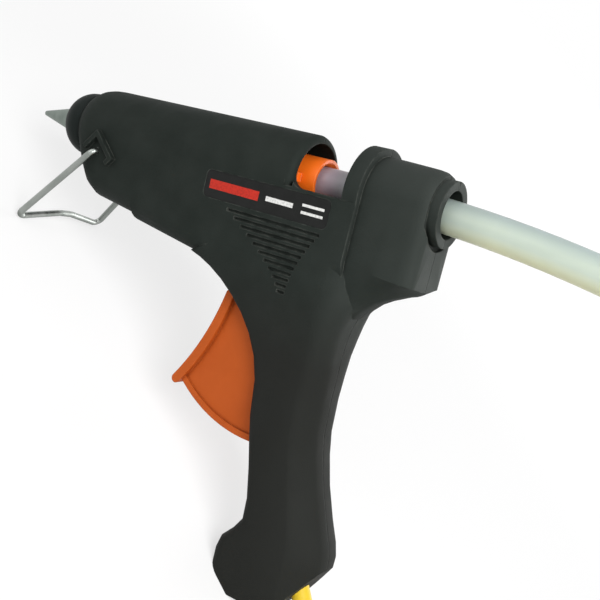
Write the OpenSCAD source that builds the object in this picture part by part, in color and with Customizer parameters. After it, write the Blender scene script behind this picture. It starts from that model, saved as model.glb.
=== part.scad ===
// Hot glue gun, parked on its wire stand and on the toe of its handle.
// Each piece is drawn in the gun's own frame: X along the glue stick with the nozzle toward -X, Z up,
// X = 0 at the face of the stick inlet and Y = 0 at the seam of the housing.
// parked() then tips the gun nose-down, so that stand and toe meet the table at Z = 0.

/* [Glue stick] */
// Diameter of the glue stick
stick_d = 11.2; // [10.8:0.1:11.6]
// Length of the glue stick
stick_len = 200; // [160:5:260]
// Reach of the stick's front end ahead of the inlet face
stick_reach = 98; // [95:1:101]
// Bend radius of the sagging tail of the stick
stick_sag_r = 450; // [440:10:2000]

/* [Barrel] */
// Nozzle tip to inlet face
gun_len = 187.5; // [186:0.5:190]
// Inlet face to the front edge of the barrel
barrel_front = 155; // [154:0.5:156]
// Inlet face to the rear edge of the barrel, where the window starts
barrel_rear = 51; // [49:0.5:53]
// Radius of the barrel's round top, and half the width of its flat sides
barrel_r = 15.4; // [15:0.1:15.8]
// Wall of the moulded housing
wall = 2.6; // [2.3:0.1:2.8]
// Length of the window between barrel and hood
window_len = 20; // [17:0.5:21]
// Depth of the window's sill below the stick's axis
sill = 3.3; // [2.8:0.1:4]
// Depth of the belly behind the chin
belly_front = 25.8; // [25:0.1:27]
// Depth of the belly at the throat
belly_rear = 34.3; // [34:0.1:35]

/* [Hood] */
// Radius of the hood's round top
hood_r = 13.4; // [13:0.1:14]
// Depth of the hood's flat sides
hood_side = 22.5; // [21:0.5:24]
// Radius of the raised flange in front of the hood
flange_r = 15.9; // [15.9:0.1:16.5]
// Length of the flange
flange_len = 5.5; // [4:0.5:7]
// Outer radius of the stick inlet ring
inlet_r = 10.8; // [10.4:0.1:11.5]
// Length of the inlet ring
inlet_len = 4; // [3:0.5:5]
// Radius of the inlet's bore
inlet_bore_r = 7.8; // [7.8:0.1:8.2]

/* [Handle] */
// Half the width of the grip
grip_half = 13; // [12.8:0.1:13.6]
// Half the width of the foot of the handle
foot_half = 14; // [13.6:0.1:15]
// Radius of the throat between barrel and handle
throat_r = 49.5; // [49:0.1:50]
// Middle of the toe's rest pad: distance ahead of the inlet face
toe_ahead = 43; // [42.5:0.5:43.5]
// Middle of the toe's rest pad: depth below the stick's axis
toe_depth = 140.2; // [139.6:0.2:140.8]

/* [Trigger] */
// Trigger pivot: distance ahead of the inlet face
pivot_ahead = 50; // [49.5:0.1:50.5]
// Trigger pivot: depth below the stick's axis
pivot_depth = 42; // [41.5:0.1:42.5]
// Radius of the trigger's lower edge about its pivot
trigger_r = 50; // [49:0.5:50.5]
// Half the width of the trigger's side plates
trigger_half = 7.5; // [7:0.1:7.6]
// Length of the arm from pivot to carrier pin
arm_len = 29; // [28.5:0.1:29.5]
// Radius of the pivot pin
pin_r = 2; // [1.8:0.1:2.4]

/* [Carrier] */
// Outer radius of the carrier's ring
carrier_r = 8.2; // [8:0.1:8.6]
// Inlet face to the rear end of the carrier
carrier_rear = 46.5; // [45:0.5:47]
// Length of the carrier's ring
carrier_len = 18.5; // [17:0.5:19]

/* [Stand] */
// Wire diameter
stand_wire = 2.5; // [2.2:0.1:2.6]
// Pivot of the stand: distance ahead of the inlet face
stand_ahead = 139; // [138:0.5:140]
// Pivot of the stand: depth below the stick's axis
stand_depth = 9; // [8.5:0.1:9.5]
// Slope of the legs below the barrel's axis, in degrees
stand_slope = 48; // [46:1:49]
// Half the distance between the feet
foot_spread = 22; // [20:0.5:23]
// Height of the raised middle of the cross bar
bar_rise = 4.6; // [4:0.2:6]

/* [Melt chamber] */
// Outer radius of the chamber
chamber_r = 9; // [8.8:0.1:9.4]
// Inner radius of the nozzle's outlet
outlet_r = 0.7; // [0.5:0.1:0.9]

/* [Park and lead] */
// Nose-down tilt of the parked gun
rest_tilt = 38; // [37.5:0.5:38.5]
// Diameter of the mains lead
cord_d = 5.6; // [5.2:0.1:5.7]
// Length of the strain relief outside the foot
relief_len = 28; // [26:1:30]

/* [Hidden] */

// Clearances
run = 0.05;
slip = 0.3;
seat = 0.03;
// Overlap and difference in radius where a round bar runs into a bent one
lap = 0.3;
lap_step = 0.05;
$fn = 48;

// Steps in the round parts of the lofts
arc_steps = 24;
corner_steps = 6;

// Places in the gun's frame
pivot = [-pivot_ahead, 0, -pivot_depth];
stand_pivot = [-stand_ahead, 0, -stand_depth];
toe = [-toe_ahead, 0, -toe_depth];
window_rear = barrel_rear - window_len;
hood_front = window_rear - flange_len;
stick_r = stick_d / 2;

// Small helpers
function unit(v) = v / norm(v);
function lerp(a, b, t) = a + (b - a) * t;
function along(angle) = [cos(angle), 0, sin(angle)];

// A straight rod of radius r from a to b
module rod(a, b, r) {
    d = b - a;
    translate(a)
        rotate([0, acos(d.z / norm(d)), atan2(d.y, d.x)])
            cylinder(h = norm(d), r = r);
}

// A bent rod through the points p, with a bend radius for each; the straights reach a little into the bends
module bent_rod(p, r, bends) {
    last = len(p) - 1;
    setback = [for (i = [0 : last])
        (i == 0 || i == last) ? 0 : bends[i] / tan(corner_angle(p, i) / 2) - lap];
    for (i = [0 : last - 1]) {
        d = unit(p[i + 1] - p[i]);
        rod(p[i] + d * setback[i], p[i + 1] - d * setback[i + 1], r);
    }
    for (i = [1 : last - 1])
        elbow(p[i], unit(p[i - 1] - p[i]), unit(p[i + 1] - p[i]), corner_angle(p, i), bends[i], r - lap_step);
}

function corner_angle(p, i) = acos(unit(p[i - 1] - p[i]) * unit(p[i + 1] - p[i]));

// The round bend of a rod at a corner, between the directions to its two neighbours
module elbow(corner, to_last, to_next, angle, bend, r) {
    centre = corner + unit(to_last + to_next) * bend / sin(angle / 2);
    u = unit(corner + to_last * bend / tan(angle / 2) - centre);
    v = -to_last;
    w = cross(u, v);
    multmatrix([
        [u.x, v.x, w.x, centre.x],
        [u.y, v.y, w.y, centre.y],
        [u.z, v.z, w.z, centre.z],
        [0, 0, 0, 1]])
        rotate_extrude(angle = 180 - angle)
            translate([bend, 0])
                circle(r = r);
}

// A solid of equal-sized sections, each listed the same way round
module loft(sections) {
    n = len(sections[0]);
    m = len(sections);
    polyhedron(
        points = [for (s = sections) each s],
        faces = concat(
            [[for (j = [0 : n - 1]) j]],
            [for (i = [0 : m - 2], j = [0 : n - 1], half = [0, 1])
                let (a = i * n + j, b = i * n + (j + 1) % n)
                half == 0 ? [a, b + n, b] : [a, a + n, b + n]],
            [[for (j = [0 : n - 1]) m * n - 1 - j]]));
}

// A tube of radius r and so many sides along a path; up is a direction that the path never follows
module tube(path, r, sides, up) {
    last = len(path) - 1;
    loft([for (i = [0 : last])
        let (t = unit(path[min(i + 1, last)] - path[max(i - 1, 0)]),
             n = unit(up - (up * t) * t),
             b = cross(t, n))
        [for (k = [0 : sides - 1])
            let (a = 360 * (k + 0.5) / sides)
            path[i] + r * (cos(a) * n + sin(a) * b)]]);
}

// A cylinder along X from x0 to x1
module bar_x(x0, x1, r) {
    translate([x0, 0, 0])
        rotate([0, 90, 0])
            cylinder(h = x1 - x0, r = r);
}

// A cylinder along Y at x, z
module bar_y(x, z, y0, y1, r) {
    translate([x, y0, z])
        rotate([-90, 0, 0])
            cylinder(h = y1 - y0, r = r);
}

// A profile of [x, radius] points turned about the stick's axis
module turned(profile) {
    rotate([0, 90, 0])
        rotate_extrude()
            polygon([for (p = profile) [p[1], p[0]]]);
}

// A side profile in X and Z, extruded from y0 to y1
module side_plate(y0, y1) {
    translate([0, y1, 0])
        rotate([90, 0, 0])
            linear_extrude(y1 - y0)
                children();
}

// The half space below a sloping line through p, t further up
module below(p, slope, t) {
    reach = 120;
    translate([p.x, 0, p.z])
        rotate([0, -slope, 0])
            translate([-reach, -reach / 2, -reach + t])
                cube([2 * reach, reach, reach]);
}

// Housing form

// Corner of a section at angle a: round with edge = 1, a flat facet with edge = 2
function bevel(t, edge) = sign(t) * pow(abs(t), edge);

// Section of barrel or hood: round top, flat sides and a bottom with corners of two radii
function arch_section(x, r, depth, ry, rz, edge = 1) = concat(
    [for (i = [0 : arc_steps])
        let (a = 180 * i / arc_steps)
        [x, r * cos(a), r * sin(a)]],
    [for (side = [0, 1], i = [0 : corner_steps])
        let (a = 180 + 90 * side + 90 * i / corner_steps)
        [x, (2 * side - 1) * (r - ry) + ry * bevel(cos(a), edge), rz - depth + rz * bevel(sin(a), edge)]]);

// Front end of the barrel: distance behind its edge, loss of radius, share of the belly's depth
nose_steps = [
    [0, 3.6, 0], [1.9, 2.1, 0.12], [4.5, 0.8, 0.33], [7.5, 0.2, 0.62], [11, 0, 0.86], [15.5, 0, 1]
];
nose_r = barrel_r - nose_steps[0][1];
belly_step = 118;
belly_slope = 0.134;

// Barrel and the belly under it; t is the inset of the hollow inside
module barrel_form(t) {
    front = [for (s = nose_steps)
        let (r = barrel_r - s[1] - t, depth = lerp(nose_r, belly_front, s[2]) - t)
        arch_section(s[0] - barrel_front + t, r, depth,
            lerp(r - 0.6, 9 - t / 2, s[2]), lerp(depth - 0.2, 8.5 - t / 2, s[2]))];
    step_depth = belly_rear - belly_slope * (belly_step - 86);
    rear = [
        arch_section(-belly_step - 0.8 + t, barrel_r - t, step_depth - 1.8 - t, 7.5 - t / 2, 7.5 - t / 2),
        arch_section(-belly_step + 0.8 + t, barrel_r - t, step_depth - t, 7.5 - t / 2, 7.5 - t / 2),
        arch_section(-86, barrel_r - t, belly_rear - t, 7 - t / 2, 7 - t / 2),
        arch_section(-barrel_rear, barrel_r - t, belly_rear + 3 - t, 8 - t / 2, 9 - t / 2),
        arch_section(-hood_front, barrel_r - t, hood_side + 13 - t, 10, 13 - t, 1.6)];
    loft(concat(front, rear));
}

// Hood over the stick's way in: distance ahead of the inlet face, loss of radius, depth, edge of its underside
hood_steps = [
    [hood_front + 10, 0, 46, 1.3], [hood_front + 3, 0, 44, 1.3], [22, 0.05, 40.2, 1.35],
    [19.6, 0.1, 36.8, 1.4], [16.4, 0.2, 33.6, 1.5], [13, 0.3, 31.4, 1.6], [7.4, 0.5, 28.6, 1.7],
    [5.2, 0.8, 27.8, 1.8], [3.6, 1.6, 27, 1.8], [2.5, 2.8, 26.3, 1.8], [2, 4, 25.6, 1.8]
];
side_fall = 0.09;

module hood_form(t) {
    loft([for (s = hood_steps)
        let (r = hood_r - s[1] - t, depth = s[2] - t, side = hood_side + side_fall * (hood_front - s[0]))
        arch_section(-s[0] - t, r, depth, min(9.5, r - 0.6), max(0.5, depth + t - side), s[3])]);
}

// Section of the handle: round front corners of radius rf, rear corners of rx by ry, flatter by edge
function grip_section(z, front, back, half, rf, rx, ry, edge) =
    [for (q = [0 : 3], i = [0 : corner_steps])
        let (a = 90 * q + 90 * i / corner_steps,
             rear = q == 0 || q == 3,
             bend = rear ? edge : 1,
             kx = rear ? rx : rf,
             ky = rear ? ry : rf,
             cx = rear ? back - rx : front + rf,
             cy = (q < 2 ? 1 : -1) * (half - ky))
        [cx + kx * bevel(cos(a), bend), cy + ky * bevel(sin(a), bend), z]];

// Front of the handle where the throat's arc shapes it
throat_mid = [-98.2, -82.1];
function throat(z) = throat_mid.x + sqrt(throat_r * throat_r - (z - throat_mid.y) * (z - throat_mid.y));

// Handle from the foot up: z, front, back, half width, rear corner along X and along Y, its edge
handle_steps = [
    [-152, -48.9, -10.8, foot_half, 10, 9, 1.6],
    [-131, -48.9, -10.8, foot_half, 10, 9, 1.6],
    [-126.5, -47.8, -10.4, foot_half, 10, 9, 1.6],
    [-122, -43.9, -10.4, foot_half, 10, 9, 1.6],
    [-117.5, -41.3, -11.6, lerp(grip_half, foot_half, 0.7), 9.5, 9, 1.6],
    [-110, -41.9, -14.8, lerp(grip_half, foot_half, 0.2), 8.5, 9, 1.6],
    [-100, -44.2, -18.8, grip_half, 7.5, 9, 1.6],
    [-90, -46.8, -22, grip_half, 7, 9, 1.5],
    [-82, throat(-82), -23.8, grip_half, 7, 9, 1.4],
    [-70, throat(-70), -24.6, grip_half, 7, 9, 1.3],
    [-62, throat(-62), -24.6, grip_half, 7, 9, 1.2],
    [-55, throat(-55), -24.7, lerp(grip_half, barrel_r, 0.2), 7, 9, 1.1],
    [-49, throat(-49), -24.4, lerp(grip_half, barrel_r, 0.5), 7, 9, 1],
    [-44, throat(-44), -23.6, lerp(grip_half, barrel_r, 0.8), 8, 9.5, 1],
    [-40, throat(-40), -22.4, lerp(grip_half, barrel_r, 0.94), 10, 10, 1],
    [-37, throat(-37), -21.4, barrel_r, 11.5, 10, 1],
    [-35, throat(-35), -21, barrel_r - 0.05, 12, 10, 1],
    [-33.8, throat(-33.8), -21, barrel_r - 0.05, 12, 10, 1],
    [-28, -80, -21, barrel_r - 0.05, 12, 10, 1],
    [-20, -75, -21, barrel_r - 0.05, 12, 10, 1]
];

// Foot of the handle: corners of its underside behind the rest pad, and the slopes of its faces
pad_half = 4.8;
pad_end = toe + pad_half * [1, 0, -tan(rest_tilt)];
heel = [-22, 0, -143.5];
heel_top = [-10.8, 0, -126.5];
sole_slope = atan2(heel.z - pad_end.z, heel.x - pad_end.x);
heel_slope = atan2(heel_top.z - heel.z, heel_top.x - heel.x);

module handle_form(t) {
    difference() {
        loft([for (s = handle_steps)
            grip_section(s[0], s[1] + t, s[2] - t, s[3] - t, 5 - t / 2, s[4] - t / 2, s[5] - t / 2, s[6])]);
        below(toe, -rest_tilt, t);
        below(pad_end, sole_slope, t);
        below(heel, heel_slope, t);
    }
}

// Label, grooves and window

label_size = [51, 9.4];
label_ahead = 34;
label_drop = 4.6;
label_depth = 0.5;
label_corner = 1.8;

// Outline of the label with round corners
module label_shape(grow) {
    r = label_corner + grow;
    size = label_size + 2 * [grow, grow];
    translate([-label_ahead - label_size.x - grow, -label_drop - label_size.y - grow]) {
        translate([r, 0])
            square([size.x - 2 * r, size.y]);
        translate([0, r])
            square([size.x, size.y - 2 * r]);
        for (x = [r, size.x - r], y = [r, size.y - r])
            translate([x, y])
                circle(r = r);
    }
}

groove_count = 11;
groove_pitch = 2.12;
groove_top = 16.3;
groove_size = [1, 0.7];
// Ends of the top row and of the last row
groove_left = [-73.4, -46.4];
groove_right = [-35.6, -43.4];

// Rows of grip grooves that narrow from the top row to the last
module grooves(side) {
    for (i = [0 : groove_count - 1]) {
        t = i / (groove_count - 1);
        left = lerp(groove_left[0], groove_left[1], 1 - pow(1 - t, 1.35));
        right = lerp(groove_right[0], groove_right[1], 1 - pow(1 - t, 1.8));
        translate([left, side * barrel_r - groove_size.y, -groove_top - groove_pitch * i - groove_size.x / 2])
            cube([right - left, 2 * groove_size.y, groove_size.x]);
    }
}

// Saddle-shaped cut between barrel and hood
module window_cut() {
    r = 4.5;
    side_plate(-2 * barrel_r, 2 * barrel_r) {
        translate([-barrel_rear + r, -sill])
            square([window_len - r, 2 * barrel_r]);
        translate([-barrel_rear, r - sill])
            square([window_len, 2 * barrel_r]);
        translate([r - barrel_rear, r - sill])
            circle(r = r);
    }
}

// Rounding of the barrel's edge at the window, just outside the barrel where it starts
rim_round = 2.4;
rim_r = barrel_r + 0.04;

module rim_cut() {
    intersection() {
        turned(concat(
            [for (i = [0 : 6])
                let (a = 15 * i)
                [-barrel_rear - rim_round * (1 - sin(a)), rim_r - rim_round * (1 - cos(a))]],
            [[1 - barrel_rear, rim_r - rim_round], [1 - barrel_rear, rim_r + 2],
             [-barrel_rear - rim_round, rim_r + 2]]));
        translate([-2 * barrel_rear, -2 * barrel_r, -sill])
            cube([2 * barrel_rear, 4 * barrel_r, 3 * barrel_r]);
    }
}

// Slot in the throat that the trigger comes out of
slot_half = 8.9;
slot_foot = 94;
slot_front = 75;
slot_back = 40;
slot_top = 39.6;

module trigger_slot() {
    translate([-slot_front, -slot_half, -slot_foot])
        cube([slot_front - slot_back, 2 * slot_half, slot_foot - slot_top]);
}

// Screws that join the halves: distance ahead of the inlet face, depth, reach of the boss to the side
screw_places = [
    [128, 21.6, 11.5], [98, 27.2, 11.5], [17, 19, 11.4], [31.5, 50, 11.8], [31, 106, 11.8], [31, 135, 12.4]
];
screw_r = 1.4;
head_r = 2.8;
head_h = 2;
boss_r = 3.6;
screw_len = 16;
head_face = 8;

module at_screws() {
    for (p = screw_places)
        translate([-p[0], 0, -p[1]])
            children();
}

// Seats inside the halves
rib_w = 2.6;
front_rib = barrel_front - 2 * wall - 1.5;
rear_rib = 103;
tab_way = 6.5;
clamp_gap = 0.6;
guide_half = 10.4;
guide_h = 1.8;
guide_len = 30;
guide_side = 0.6;
guide_gap = 1.9;
post = [-26, 0, -27];
post_r = 1.8;
post_half = 9.8;

// Ribs, bosses and guides of one half; side is -1 on the left and 1 on the right
module inner_seats(side) {
    reach = barrel_r - wall / 2;
    // Ribs that hold the melt chamber
    for (x = [front_rib, rear_rib])
        intersection() {
            difference() {
                bar_x(-x, rib_w - x, barrel_r - wall / 2);
                bar_x(-x - 1, rib_w - x + 1, chamber_r + seat);
                // Way through for the heater's tabs and leads
                block([[-x - 1, rib_w - x + 1], [-tab_way, tab_way], [-barrel_r, -chamber_r + 1]]);
            }
            translate([-x - 1, min(0, side * reach), -barrel_r])
                cube([rib_w + 2, reach, 2 * barrel_r]);
        }
    // Rails above and below the carrier's wing
    rail = carrier_r + guide_side;
    for (z = [guide_gap, -guide_gap - guide_h])
        translate([-barrel_rear - guide_len, side > 0 ? rail : -reach, z])
            cube([guide_len - wall, reach - rail, guide_h]);
    // Bosses for pivot pin and screws
    difference() {
        union() {
            bar_y(pivot.x, pivot.z, side > 0 ? trigger_half + 0.9 : -reach + 0.6,
                side > 0 ? reach - 0.6 : -trigger_half - 0.9, 2.3 * pin_r);
            bar_y(post.x, post.z, side > 0 ? 0 : -post_half, side > 0 ? post_half : 0, post_r);
        }
        bar_y(pivot.x, pivot.z, -reach, reach, pin_r + seat / 2);
    }
    // Seat under one end of the cord clamp
    at_clamp()
        difference() {
            block([[-clamp_half, clamp_half],
                side > 0 ? [cord_r + clamp_gap, clamp_reach] : [-clamp_reach, -cord_r - clamp_gap],
                [-cord_r, cord_r]]);
            clamp_bores(seat / 2);
        }
}

// Screw bosses: posts from the wall to the seam
module screw_posts(side) {
    for (p = screw_places)
        bar_y(-p[0], -p[1], side > 0 ? 0 : -p[2], side > 0 ? p[2] : 0, boss_r);
}

// Ridge beside the stand's pivot: an arm over the leg that stops it, an arm behind the pivot and a lip
leg_dir = along(180 + stand_slope);
ridge_w = 1.8;
ridge_h = 2;
ridge_top = 5.4;
ridge_rear = 5.9;
ridge_foot = 8.4;

module stand_ridge(side) {
    sink = 0.6;
    y0 = side > 0 ? barrel_r - sink : -barrel_r - ridge_h;
    translate(stand_pivot)
        rotate([0, -stand_slope, 0])
            translate([0, y0 + ridge_h + sink, 0])
                rotate([90, 0, 0])
                    linear_extrude(ridge_h + sink) {
                        translate([-3, ridge_top - ridge_w])
                            square([ridge_rear + 3, ridge_w]);
                        translate([ridge_rear - ridge_w, -ridge_foot])
                            square([ridge_w, ridge_foot + ridge_top]);
                        translate([ridge_rear - 4, -ridge_foot])
                            square([4, ridge_w]);
                    }
}

// Recess round the inlet ring: distance of its floor ahead of the inlet face, and width
recess_at = 3.4;
recess_w = 1.6;

// The shell of the whole housing, before it is parted
module housing_shell() {
    difference() {
        union() {
            difference() {
                union() {
                    barrel_form(0);
                    hood_form(0);
                    handle_form(0);
                }
                barrel_form(wall);
                hood_form(wall);
                handle_form(wall);
            }
            // Flange in front of the hood
            difference() {
                bar_x(-window_rear, -hood_front, flange_r);
                bar_x(-window_rear - 1, 1 - hood_front, hood_r - wall);
                translate([-window_rear - 1, -2 * flange_r, -3 * flange_r - sill])
                    cube([flange_len + 2, 4 * flange_r, 3 * flange_r]);
            }
            // Inlet ring
            bar_x(-inlet_len - wall, 0, inlet_r);
        }
        bar_x(-inlet_len - 2 * wall, 1, inlet_bore_r);
        // Recess round the inlet ring
        difference() {
            bar_x(-recess_at, 1, inlet_r + recess_w);
            bar_x(-recess_at - 1, 2, inlet_r);
        }
        window_cut();
        rim_cut();
        trigger_slot();
        // Hole for the nose cap's spigot
        bar_x(-barrel_front - 1, 2 * wall - barrel_front, spigot_r + seat);
        // Hole for the strain relief
        rod(relief_exit - 14 * relief_dir, relief_exit + 12 * relief_dir, relief_r + seat);
        // Notch on the seam above the inlet
        translate([-inlet_len - 1, -0.5, inlet_r - 0.8])
            cube([inlet_len + 2, 1, 3]);
        for (side = [-1, 1])
            grooves(side);
        // Bores for the stand's ends
        bar_y(stand_pivot.x, stand_pivot.z, -2 * barrel_r, 2 * barrel_r, stand_wire / 2 + run);
    }
}

// Room for one half of the housing: to the side, down and up
half_room = [40, 160, 40];

module half_space(side) {
    translate([-gun_len, side > 0 ? 0 : -half_room.x, -half_room.y])
        cube([2 * gun_len, half_room.x, half_room.y + half_room.z]);
}

module housing_left() {
    color([0.13, 0.14, 0.13])
        difference() {
            union() {
                intersection() {
                    housing_shell();
                    half_space(-1);
                }
                inner_seats(-1);
                screw_posts(-1);
                stand_ridge(-1);
            }
            side_plate(-barrel_r - 1, label_depth - barrel_r)
                label_shape(seat);
            at_screws()
                bar_y(0, 0, head_face - screw_len, 1, screw_r + seat / 2);
        }
}

module housing_right() {
    color([0.13, 0.14, 0.13])
        difference() {
            union() {
                intersection() {
                    housing_shell();
                    half_space(1);
                }
                inner_seats(1);
                screw_posts(1);
                stand_ridge(1);
            }
            at_screws() {
                bar_y(0, 0, -1, 20, screw_r + seat);
                bar_y(0, 0, head_face, 20, head_r + slip / 2);
            }
        }
}

module housing_screws() {
    color([0.6, 0.6, 0.62])
        at_screws() {
            bar_y(0, 0, head_face - screw_len + 1, head_face, screw_r);
            difference() {
                bar_y(0, 0, head_face, head_face + head_h, head_r);
                for (turn = [0, 90])
                    translate([0, head_face + head_h, 0])
                        rotate([0, turn, 0])
                            cube([3, 1.4, 0.7], center = true);
            }
        }
}

module label_plate() {
    color([0.07, 0.07, 0.07])
        side_plate(-barrel_r + 0.1, label_depth - barrel_r)
            label_shape(0);
}

// Nose and melt chamber

spigot_r = 10.2;
neck_r = 8;
cap_len = 11;
cap_r = 12.5;
cap_mid = -barrel_front - 3;
nozzle_base_r = 5.6;
cap_front = cap_mid - cap_len * sqrt(1 - pow(nozzle_base_r / cap_r, 2));
nozzle_collar = [cap_front + 2.2, cap_front + 5.2, 7];
cap_gap = 0.1;
tip_land = 0.3;
feed_r = 2;
thread_r = 4;
thread_end = cap_front + 16;

function cap_radius(x) = cap_r * sqrt(1 - pow((x - cap_mid) / cap_len, 2));

module nose_cap() {
    color([0.1, 0.11, 0.1])
        difference() {
            turned(concat(
                [[-barrel_front + 2 * wall, 0], [cap_front, 0]],
                [for (i = [0 : 12]) let (x = lerp(cap_front, cap_mid, i / 12)) [x, cap_radius(x)]],
                [[-barrel_front - 1, cap_r - 0.2], [-barrel_front, cap_r - 0.6]],
                [[-barrel_front, spigot_r], [-barrel_front + 2 * wall, spigot_r]]));
            bar_x(cap_front - 1, nozzle_collar[0], nozzle_base_r + cap_gap);
            bar_x(nozzle_collar[0] - cap_gap, nozzle_collar[1] + cap_gap, nozzle_collar[2] + cap_gap);
            bar_x(nozzle_collar[1], -barrel_front + 3 * wall, neck_r + seat);
        }
}

module nozzle() {
    color([0.62, 0.63, 0.62])
        turned([
            [-gun_len, outlet_r], [-gun_len, outlet_r + tip_land], [cap_front, nozzle_base_r - 0.2],
            [nozzle_collar[0], nozzle_base_r], [nozzle_collar[0], nozzle_collar[2]],
            [nozzle_collar[1], nozzle_collar[2]], [nozzle_collar[1], thread_r], [thread_end, thread_r],
            [thread_end, feed_r], [lerp(cap_front, -gun_len, 0.1), feed_r],
            [lerp(cap_front, -gun_len, 0.5), outlet_r]]);
}

chamber_front = nozzle_collar[1] + seat;
chamber_shoulder = 2 * wall - barrel_front + slip;
chamber_rear = -97;
bore_r = 6;
sleeve_neck_r = 7.6;
sleeve_neck_end = -88;
pocket = [[-141, -107], [-8, 8], [-17.5, -4]];
pocket_slot = [[-139, -105], [-6.6, 6.6], [-16, -10]];

module block(b) {
    translate([b[0][0], b[1][0], b[2][0]])
        cube([b[0][1] - b[0][0], b[1][1] - b[1][0], b[2][1] - b[2][0]]);
}

module melt_chamber() {
    color([0.75, 0.75, 0.76])
        difference() {
            union() {
                bar_x(chamber_front, chamber_shoulder + 1, neck_r);
                bar_x(chamber_shoulder, chamber_rear, chamber_r);
                bar_x(chamber_rear - 1, sleeve_neck_end, sleeve_neck_r);
                block(pocket);
            }
            turned([
                [chamber_front - 1, 0], [chamber_front - 1, thread_r + seat], [thread_end + 1, thread_r + seat],
                [thread_end + 1, 2], [-148, 2], [-126, bore_r], [sleeve_neck_end + 1, bore_r],
                [sleeve_neck_end + 1, 0]]);
            block(pocket_slot);
        }
}

film = 0.3;
plate_t = 0.5;
ptc_t = 2.2;
ptc_mid = -13;
ptc_span = [-138, -110];
ptc_half = 5.8;
tab_end = ptc_span[1] + 9;

// Middle of the electrode plate above the heater (s = 1) or below it (s = -1)
function tab_z(s) = ptc_mid + s * (ptc_t + plate_t) / 2;

module ptc_heater() {
    color([0.35, 0.33, 0.32])
        block([ptc_span, [-ptc_half, ptc_half], [ptc_mid - ptc_t / 2, ptc_mid + ptc_t / 2]]);
}

module heater_electrodes() {
    color([0.8, 0.78, 0.7])
        for (s = [-1, 1]) {
            plate = [tab_z(s) - plate_t / 2, tab_z(s) + plate_t / 2];
            block([ptc_span, [-ptc_half, ptc_half], plate]);
            block([[ptc_span[1], tab_end], [s * 3.4 - 1.6, s * 3.4 + 1.6], plate]);
        }
}

module heater_insulation() {
    side = ptc_half + seat;
    top = ptc_t / 2 + plate_t;
    color([0.75, 0.5, 0.15])
        difference() {
            block([[ptc_span[0], ptc_span[1] + 3], [-side - film, side + film],
                [ptc_mid - top - film, ptc_mid + top + film]]);
            block([[ptc_span[0] - 1, ptc_span[1] + 4], [-side, side], [ptc_mid - top, ptc_mid + top]]);
        }
}

sleeve_r = 9.2;
sleeve_mouth = -80;
clamp_wire = 0.8;

module inlet_sleeve() {
    lip = stick_r + slip;
    color([0.75, 0.25, 0.18])
        turned([
            [chamber_rear + seat, sleeve_neck_r + seat], [chamber_rear + seat, sleeve_r],
            [sleeve_neck_end + 1, sleeve_r], [sleeve_mouth, sleeve_r - 0.6], [sleeve_mouth, lip + 1],
            [sleeve_mouth - 1.5, lip], [sleeve_neck_end + seat, lip],
            [sleeve_neck_end + seat, sleeve_neck_r + seat]]);
}

module sleeve_clamp() {
    color([0.7, 0.7, 0.72])
        translate([chamber_rear + 4, 0, 0])
            rotate([0, 90, 0])
                rotate_extrude()
                    translate([sleeve_r + clamp_wire + seat, 0])
                        circle(r = clamp_wire);
}

// Feed

arm_lean = 5;
link_r = 1.5;
link_at = pivot + arm_len * [sin(arm_lean), 0, cos(arm_lean)];
cheek = [3.3, 5.5];
jaw_span = [-60, -52.5];
jaw_half = 2.9;

module carrier() {
    front = -carrier_rear - carrier_len;
    color([0.98, 0.45, 0.16])
        difference() {
            union() {
                bar_x(front, -carrier_rear, carrier_r);
                // Wings that run between the housing's rails
                block([[front, -barrel_rear - 1], [-guide_half, guide_half],
                    [slip - guide_gap, guide_gap - slip]]);
                // Cheeks that hold the link pin
                for (s = [-1, 1])
                    block([[link_at.x - 5.5, link_at.x + 4.5], s > 0 ? cheek : [-cheek[1], -cheek[0]],
                        [link_at.z - 6, -5]]);
            }
            bar_x(front - 1, 1 - carrier_rear, stick_r + slip);
            // Flared mouth where the stick goes in
            turned([[-carrier_rear - 1.4, 0], [-carrier_rear - 1.4, stick_r + slip],
                [1 - carrier_rear, stick_r + slip + 2], [1 - carrier_rear, 0]]);
            // Pocket for the jaw
            block([[jaw_span[0] - seat, jaw_span[1] + seat], [-jaw_half - seat, jaw_half + seat], [-12, 0]]);
            // Slots that the link pin slides in
            for (end = [-1.2, 1.2])
                bar_y(link_at.x, link_at.z + end, -8, 8, link_r + slip);
            block([[link_at.x - link_r - slip, link_at.x + link_r + slip], [-8, 8],
                [link_at.z - 1.2, link_at.z + 1.2]]);
        }
}

tooth = 1.5;

module grip_jaw() {
    top = stick_r + slip;
    color([0.7, 0.7, 0.72])
        side_plate(-jaw_half, jaw_half)
            polygon(concat(
                [[jaw_span[0], -top - 3.4], [jaw_span[1], -top - 3.4]],
                [for (i = [0 : 4])
                    let (x = jaw_span[1] - tooth * i)
                    each [[x, -top], [x - tooth, -top - 0.8]]]));
}

rib_t = 3.4;
rib_half = 9.4;
rim_half = 8.3;
rim_t = 2.2;
plate_wall = 2;
hub_r = 6.5;
hub_step = 0.3;
arm_half = 2.9;
arm_tip_r = 3.2;
rib_top = [-18.4, -3];
rib_foot = [-33.6, -39.2];
rib_sag = 2;
arc_from = 229;
arc_to = 273;

// A point on the hollow front edge of the trigger, moved back by off
function rib_point(t, off) =
    let (d = unit(rib_foot - rib_top), n = [-d.y, d.x])
    lerp(rib_top, rib_foot, t) + n * (4 * rib_sag * t * (1 - t) + off);

function sector_arc(r, a0, a1, steps) =
    [for (i = [0 : steps]) let (a = lerp(a0, a1, i / steps)) r * [cos(a), sin(a)]];

// Corners of the trigger's back edge, and the mouth of its hollow, about the pivot
sector_back = [[4, -20], [4, -2], [-4, 6], [-12, 2]];
mouth_corner = [-1, -46];
mouth_size = [8, 38];

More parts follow.
